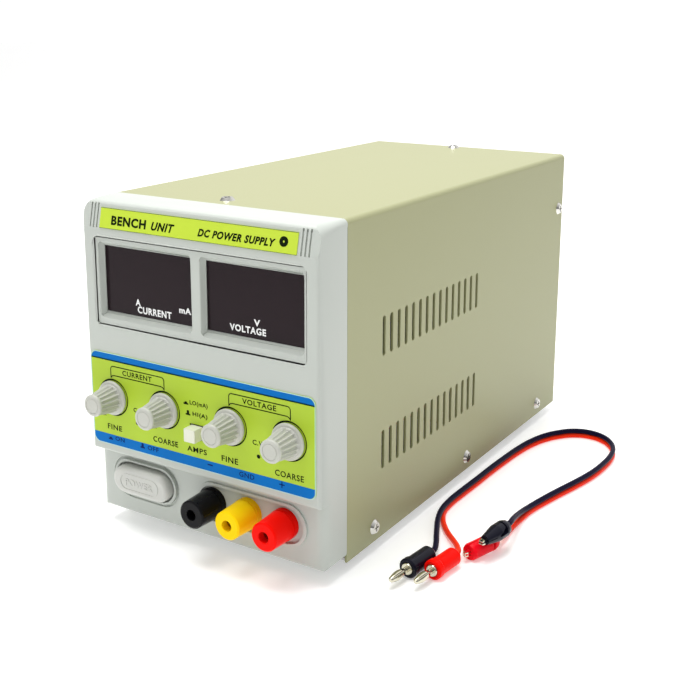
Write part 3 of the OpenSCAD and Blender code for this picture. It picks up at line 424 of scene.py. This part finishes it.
def print_overlay():
    left, right = film_low.x / MM, film_high.x / MM
    low, high = (film_low.z - case_z) / MM, (film_high.z - case_z) / MM
    blue_low, blue_high = low + 5, high - 3
    corner = 3.2
    edge = 0.35
    place = facing(film_low.y)
    inner = (left + edge, low + edge, right - edge, high - edge)
    bands = [
        filled([rounded(inner[0], inner[1], inner[2], blue_low, [corner, corner, 0, 0])]),
        filled([rounded(inner[0], blue_high, inner[2], inner[3], [0, 0, corner, corner])]),
    ]
    add("blue_bands", joined(bands, place), BLUE, "case")
    outline = [
        rounded(left, low, right, high, [corner] * 4),
        rounded(*inner, [corner - edge] * 4),
    ]
    hair = [(left + edge, blue_high - 0.15), (right - edge, blue_high - 0.15)]
    sky = [filled(outline, THIN_PRINT), filled([stroke(hair, 0.3)], THIN_PRINT)]
    add("sky_outline", joined(sky, place), SKY, "case")

    ink = [
        lettering("FINE", knob_x[0], 45.1, 2.5, 8.7, 0.05),
        lettering("COARSE", knob_x[1], 44.8, 2.6, 14.2, 0.06),
        lettering("FINE", knob_x[2] - 0.5, 44.3, 2.6, 8.8, 0.06),
        lettering("COARSE", knob_x[3], 44.4, 2.7, 14.3, 0.06),
        lettering("AMPS", -0.3, 44.7, 2.5, 10.8, 0.06),
        lettering("LO(mA)", 1.3, 65.7, 2.5, 9.8, 0.08),
        lettering("HI(A)", 1.9, 60.8, 2.5, 8.1, 0.08),
        lettering("C.C", -33.6, 56, 2.1, 5.2, 0.06), lettering("C.V", 32.2, 55.2, 2.2, 5.2, 0.06),
        filled([stroke([(-3.9, 56), (3.5, 56)], 0.7)]),
    ]
    for x, words in ((-33.4, "CURRENT"), (33.2, "VOLTAGE")):
        ink.append(lettering(words, x, 72.1, 2.4, 17.2, 0.06))
        half, round_r = 15.6, 1.5
        frame_line = (
            [(x - half, 68.5)] + arc((x - half + round_r, 74.2 - round_r), round_r, 180, 90, 5)
            + arc((x + half - round_r, 74.2 - round_r), round_r, 90, 0, 5)
            + [(x + half, 68.5)])
        ink.append(filled([stroke(frame_line, 0.45)]))
        low_line = [(x - half + 0.1, 68.8), (x - half + 0.7, 69.6), (x - half + 1.8, 69.95),
                    (x + half - 1.8, 69.95), (x + half - 0.7, 69.6), (x + half - 0.1, 68.8)]
        ink.append(filled([stroke(low_line, 0.45)]))
    for x in knob_x:
        ink.append(filled([ring((x, knob_z), 8.75, 0.4, 155, -120, 0.5)]))
        ink.append(lettering("MIN", x - 6.4, knob_z - 9.2, 1.3, 2.6))
    for x, z in ((-34.2, 50), (32.6, 49.3)):
        ink.append(filled([arc((x, z), 0.9, 0, 345, 23)]))
    for x, y, tall in ((-5.7, 65.5, 0.4), (-4.7, 60.8, 1.3)):
        ink += [filled([loop]) for loop in switch_mark(x, y, tall)]
    add("overlay_ink", joined(ink, facing(film_low.y, INK_LIFT)), INK, "case")

    navy = [
        lettering("ON", -45.2, 39.9, 2, 5.6, 0.05), lettering("OFF", -25.4, 39.7, 2.1, 6.4, 0.05),
        lettering("GND", 26.3, 39.3, 2.3, 7.9, 0.05),
        filled([stroke([(5.4, 39.6), (8.2, 39.6)], 0.6)]),
        filled([stroke([(42.9, 39.6), (45.7, 39.6)], 0.5)]),
        filled([stroke([(44.3, 38.2), (44.3, 41)], 0.5)]),
    ]
    for x, tall in ((-50.8, 0.4), (-31.6, 1.4)):
        navy += [filled([loop]) for loop in switch_mark(x, 39.6, tall)]
    add("band_ink", joined(navy, facing(film_low.y, BAND_LIFT)), NAVY, "case")


def print_title():
    low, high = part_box("title_strip")
    tilt = math.atan2(TITLE_BACK, TITLE_RISE)
    place = (
        Matrix.Translation((0, panel_y, case_z + TITLE_Z * MM))
        @ Matrix.Rotation(-tilt, 4, "X") @ Matrix.Translation((0, -TITLE_FILM * MM, 0))
        @ Matrix.Rotation(math.pi / 2, 4, "X"))
    words = [
        lettering("BENCH", -35.5, 4.6, 4.1, 19.8, 0.24),
        lettering("UNIT", -16.3, 4.4, 3.7, 12.6, 0.2, slant=0.25),
        lettering("DC POWER SUPPLY", 22.2, 4.4, 3.3, 39.2, 0.19, slant=0.25),
        filled([arc((45.6, 5.4), 2.1, 0, 350, 35), arc((45.6, 5.4), 0.45, 0, 340, 17)]),
        filled([stroke([(low.x / MM, 9.6), (high.x / MM, 9.6)], 0.15)]),
        filled([stroke([(low.x / MM, 0.8), (high.x / MM, 0.8)], 0.12)]),
    ]
    add("title_ink", joined(words, place), INK, "case")


def print_windows():
    words = [
        lettering("A", -35.3, 104.4, 3, 3, 0.14),
        lettering("CURRENT", -26, 101.2, 3.2, 19.4, 0.14),
        lettering("mA", -8.6, 104.6, 2.8, 6.6, 0.14),
        lettering("V", 29.3, 105.1, 2.8, 3.2, 0.14),
        lettering("VOLTAGE", 24.5, 101.5, 3, 18.6, 0.14),
    ]
    add("window_ink", joined(words, facing(window_low.y)), WHITE_INK, "case")


SEGMENTS = {
    "a": ((-1, 2), (1, 2)), "b": ((1, 2), (1, 0)), "c": ((1, 0), (1, -2)),
    "d": ((-1, -2), (1, -2)), "e": ((-1, 0), (-1, -2)), "f": ((-1, 2), (-1, 0)),
    "g": ((-1, 0), (1, 0)),
}


def add_segments():
    """Three unlit figures in each meter."""
    display_low, display_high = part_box("digit_displays")
    middle = (display_low.z + display_high.z) / 2
    width, height, bar, gap = 3.6, 3.9, 1.3, 0.35
    pitch = 14
    from_edge = 22.5
    upright = height / 2 * 0.95
    bars = []
    for meter in (-1, 1):
        for digit in (-1, 0, 1):
            x0 = (meter * (display_high.x / MM - from_edge)) + digit * pitch
            z0 = (middle - case_z) / MM
            for a, b in SEGMENTS.values():
                a, b = Vector(a), Vector(b)
                start = Vector((x0 + a.x * width, z0 + a.y * upright))
                end = Vector((x0 + b.x * width, z0 + b.y * upright))
                along = (end - start).normalized()
                start += along * (bar / 2 + gap)
                end -= along * (bar / 2 + gap)
                bars.append(filled([stroke([tuple(start), tuple(end)], bar)], 0.1))
            bars.append(filled([arc((x0 + width + 2, z0 - height), 0.7, 0, 330, 11)], 0.1))
    add("figure_segments", joined(bars, facing(display_low.y)), SEGMENT, "case")


def add_power_legend():
    low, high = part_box("power_button")
    x, z = (low.x + high.x) / 2 / MM, ((low.z + high.z) / 2 - case_z) / MM
    half = 7.4
    loop = (arc((x - half, z), 3.9, 270, 90, 12) + arc((x + half, z), 3.9, 90, -90, 12))
    inner = (arc((x - half, z), 3.5, 270, 90, 12) + arc((x + half, z), 3.5, 90, -90, 12))
    raised = [
        filled([loop, inner], RAISED),
        lettering("POWER", x, z, 3.2, 16, 0.08, thick=RAISED),
    ]
    mesh = joined(raised, facing(low.y, 0))
    add("power_legend", mesh, BUTTON, "power_button")


# ---- Small detail ----

def in_grooves(middle):
    """True at the fluting beside the title strip, whose grooves are too fine to round."""
    beside = abs(middle.x) > 53 * MM
    in_front = middle.y < -105 * MM
    return beside and in_front and middle.z > case_z + (TITLE_Z - 1.2) * MM


def add_rounded_nodes():
    softened("front_bezel", 0.0004, 2, keep=in_grooves, merge=False)
    softened("top_cover", 0.0003, 2)
    softened("power_button", 0.0022, 5, shortest=0.2, keep=lambda middle: middle.y > panel_y)
    softened("range_button", 0.0004, 2, keep=lambda middle: middle.y > panel_y)


# Where the plugs and clips lie, as in the CAD: place in millimetres, then angles in degrees
BLACK_PLUG = ((87.9, -75.2, 4.4), 264)
RED_PLUG = ((97.7, -70.9, 4.4), 263)
BLACK_CLIP = ((107.2, -65.3, 10.3), 82, 0)
RED_CLIP = ((100.5, -67.4, 3.85), 74, 90)
PIN_MIDDLE = 24.4
PIN_END = 29.8
LEAF_HALF = 4.7
LEAF_THICK = 0.28
LEAF_SPAN = 62


def turned(outline, steps=28, flutes=0):
    """A solid of revolution about X from (x, radius) or (x, radius, flute depth) in
    millimetres; a radius of 0 at either end closes it."""
    work = bmesh.new()
    rings = []
    for x, r, *depth in outline:
        if r == 0:
            rings.append([work.verts.new((x * MM, 0, 0))] * steps)
            continue
        ring_verts = []
        for k in range(steps):
            a = 2 * math.pi * k / steps
            here = r - (depth[0] * abs(math.cos(a * flutes / 2)) ** 0.6 if depth else 0)
            ring_verts.append(work.verts.new(
                (x * MM, here * MM * math.cos(a), here * MM * math.sin(a))))
        rings.append(ring_verts)
    for first, second in zip(rings, rings[1:]):
        for k in range(steps):
            nxt = (k + 1) % steps
            corners = (first[k], first[nxt], second[nxt], second[k])
            work.faces.new(list(dict.fromkeys(corners)))
    bmesh.ops.recalc_face_normals(work, faces=work.faces)
    mesh = bpy.data.meshes.new("turned")
    work.to_mesh(mesh)
    work.free()
    for face in mesh.polygons:
        face.use_smooth = True
    mesh.set_sharp_from_angle(angle=math.radians(40))
    return mesh


def add_knobs():
    """Ribbed knobs in place of the CAD's grooved ones; the outline runs out from the shaft's
    hole, round the skirt and along the grip to the end."""
    for knob, x in zip(KNOBS, knob_x):
        front = (panel_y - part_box(knob + "_knob")[0].y) / MM
        outline = [
            (11.5, 0), (11.5, 2.96), (4.2, 2.96), (4.2, 3.85), (2.7, 3.85), (2.7, 6),
            (0.9, 6), (0.9, 7.75), (1.1, 7.95), (1.7, 7.95), (2.15, 7.7), (2.3, 7.4), (2.32, 6.6),
            (2.6, 6.45, 0), (3.1, 6.4, 0.85), (front - 2.2, 4.95, 0.7), (front - 1.55, 4.8, 0.3),
            (front - 1.5, 4.95), (front - 1.3, 5.05), (front - 0.7, 5.05), (front - 0.3, 4.85),
            (front - 0.05, 4.4), (front, 4.2), (front, 3.65), (front - 0.2, 3.5),
            (front - 0.2, 3.35), (front, 3.2), (front, 0)]
        mesh = turned(outline, 144, 18)
        mesh.transform(
            Matrix.Translation((x * MM, panel_y, case_z + knob_z * MM))
            @ Matrix.Rotation(-math.pi / 2, 4, "Z"))
        piece = add(knob + "_ribbed", mesh, KNOB, knob)
        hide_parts(knob + "_knob")


def spring_leaf(turn):
    """One of the four bowed springs round a plug's pin."""
    work = bmesh.new()
    rows = []
    along, across = 14, 5
    for i in range(along + 1):
        t = 2 * i / along - 1
        x = PIN_MIDDLE + t * LEAF_HALF
        r = 1.2 + 0.8 * math.cos(t * math.pi / 2)
        for depth in (0, LEAF_THICK):
            row = []
            for j in range(across + 1):
                a = math.radians(turn + LEAF_SPAN * (j / across - 0.5))
                row.append(work.verts.new(
                    (x * MM, (r - depth) * MM * math.cos(a), (r - depth) * MM * math.sin(a))))
            rows.append(row)
    for i in range(along):
        top, under, top2, under2 = rows[2 * i:2 * i + 4]
        for j in range(across):
            work.faces.new((top[j], top[j + 1], top2[j + 1], top2[j]))
            work.faces.new((under[j], under2[j], under2[j + 1], under[j + 1]))
        work.faces.new((top[0], top2[0], under2[0], under[0]))
        work.faces.new((top[-1], under[-1], under2[-1], top2[-1]))
    for row, under in ((rows[0], rows[1]), (rows[-2], rows[-1])):
        for j in range(across):
            work.faces.new((row[j], row[j + 1], under[j + 1], under[j]))
    bmesh.ops.recalc_face_normals(work, faces=work.faces)
    mesh = bpy.data.meshes.new("leaf")
    work.to_mesh(mesh)
    work.free()
    return mesh


def add_pins():
    """Spring pins in place of the CAD's plain ones."""
    meshes = []
    for place, turn in (BLACK_PLUG, RED_PLUG):
        where = (
            Matrix.Translation([value * MM for value in place])
            @ Matrix.Rotation(math.radians(turn), 4, "Z"))
        parts = [
            turned([(14.6, 0), (14.6, 2.7), (17.7, 2.7), (18.1, 2.4), (18.1, 1.3), (19.6, 1.3),
                    (19.8, 0.95), (PIN_END - 1.2, 0.95), (PIN_END - 1, 1.25),
                    (PIN_END - 0.5, 1.2), (PIN_END, 0.7), (PIN_END, 0)]),
        ] + [spring_leaf(turn2) for turn2 in (0, 90, 180, 270)]
        meshes.append(joined(parts, where))
    piece = add("spring_pins", joined(meshes, Matrix.Identity(4)), BRIGHT, "leads")
    for face in piece.data.polygons:
        face.use_smooth = True
    piece.data.set_sharp_from_angle(angle=math.radians(40))
    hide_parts("plug_pins")


def add_clip_teeth(colour, clip):
    place, turn, roll = clip
    where = (
        Matrix.Translation([value * MM for value in place])
        @ Matrix.Rotation(math.radians(turn), 4, "Z")
        @ Matrix.Rotation(math.radians(roll), 4, "X"))
    outline = [(-0.1, 0.2), (0.3, 0.5), (0.7, 0.2), (1.1, 0.5), (1.5, 0.2), (1.9, 0.5),
               (3.4, 0.2), (3.4, 1.3), (1.2, 1.1), (-0.1, 0.8)]
    upright = Matrix.Rotation(math.pi / 2, 4, "X")
    for name, flip, body in (("upper", 1, colour + "_clip_jaw"), ("lower", -1, "leads")):
        mesh = filled([[(x, flip * z) for x, z in outline]], 2)
        mesh.transform(where @ upright)
        add(colour + "_clip_teeth_" + name, mesh, BRIGHT, body)


# ---- Room and light ----

def add_stage():
    floor = bpy.data.objects.new("floor", bpy.data.meshes.new("floor"))
    bpy.context.scene.collection.objects.link(floor)
    size = 6.0
    floor.data.from_pydata(
        [(-size, -size, 0), (size, -size, 0), (size, size, 0), (-size, size, 0)],
        [], [(0, 1, 2, 3)])
    white = material("floor", (0.9, 0.9, 0.895), 0.28)
    glow = white.node_tree.nodes["Principled BSDF"].inputs
    glow["Emission Color"].default_value = (1, 1, 1, 1)
    glow["Emission Strength"].default_value = 0.29
    floor.data.materials.append(white)


def area_light(name, place, target, size, watts):
    light = bpy.data.lights.new(name, "AREA")
    light.shape = "SQUARE"
    light.size = size
    light.energy = watts
    lamp = bpy.data.objects.new(name, light)
    bpy.context.scene.collection.objects.link(lamp)
    lamp.location = place
    lamp.rotation_euler = (Vector(target) - Vector(place)).to_track_quat("-Z", "Y").to_euler()


def add_light():
    """A white surround to look at, whose light is strongest from above and behind."""
    world = bpy.data.worlds.new("studio")
    bpy.context.scene.world = world
    world.use_nodes = True
    tree = world.node_tree
    way = tree.nodes.new("ShaderNodeTexCoord")
    parts = tree.nodes.new("ShaderNodeSeparateXYZ")
    sky = tree.nodes.new("ShaderNodeMapRange")
    back = tree.nodes.new("ShaderNodeMapRange")
    total = tree.nodes.new("ShaderNodeMath")
    rays = tree.nodes.new("ShaderNodeLightPath")
    mix = tree.nodes.new("ShaderNodeMix")
    sky.inputs["From Min"].default_value = 0.0
    sky.inputs["From Max"].default_value = 0.8
    sky.inputs["To Min"].default_value = 0.02
    sky.inputs["To Max"].default_value = 0.75
    back.inputs["From Min"].default_value = 0.1
    back.inputs["From Max"].default_value = 0.9
    back.inputs["To Max"].default_value = 0.8
    tree.links.new(way.outputs["Generated"], parts.inputs["Vector"])
    tree.links.new(parts.outputs["Z"], sky.inputs["Value"])
    tree.links.new(parts.outputs["Y"], back.inputs["Value"])
    tree.links.new(sky.outputs["Result"], total.inputs[0])
    tree.links.new(back.outputs["Result"], total.inputs[1])
    tree.links.new(rays.outputs["Is Camera Ray"], mix.inputs["Factor"])
    tree.links.new(total.outputs["Value"], mix.inputs["A"])
    mix.inputs["B"].default_value = 1.05
    background = tree.nodes["Background"]
    background.inputs["Color"].default_value = (1, 1, 1, 1)
    tree.links.new(mix.outputs["Result"], background.inputs["Strength"])
    area_light("top", (-0.2, -0.1, 1.5), (0, 0, 0.1), 1.0, 27)
    area_light("front", (-0.9, -1.2, 0.8), (0, 0, 0.08), 0.8, 2.4)
    bpy.context.scene.view_settings.view_transform = "Standard"


add_camera()
paint_nodes()
add_leads()
add_rounded_nodes()
print_overlay()
print_title()
print_windows()
add_segments()
add_power_legend()
add_knobs()
add_pins()
add_clip_teeth("black", BLACK_CLIP)
add_clip_teeth("red", RED_CLIP)
add_stage()
add_light()
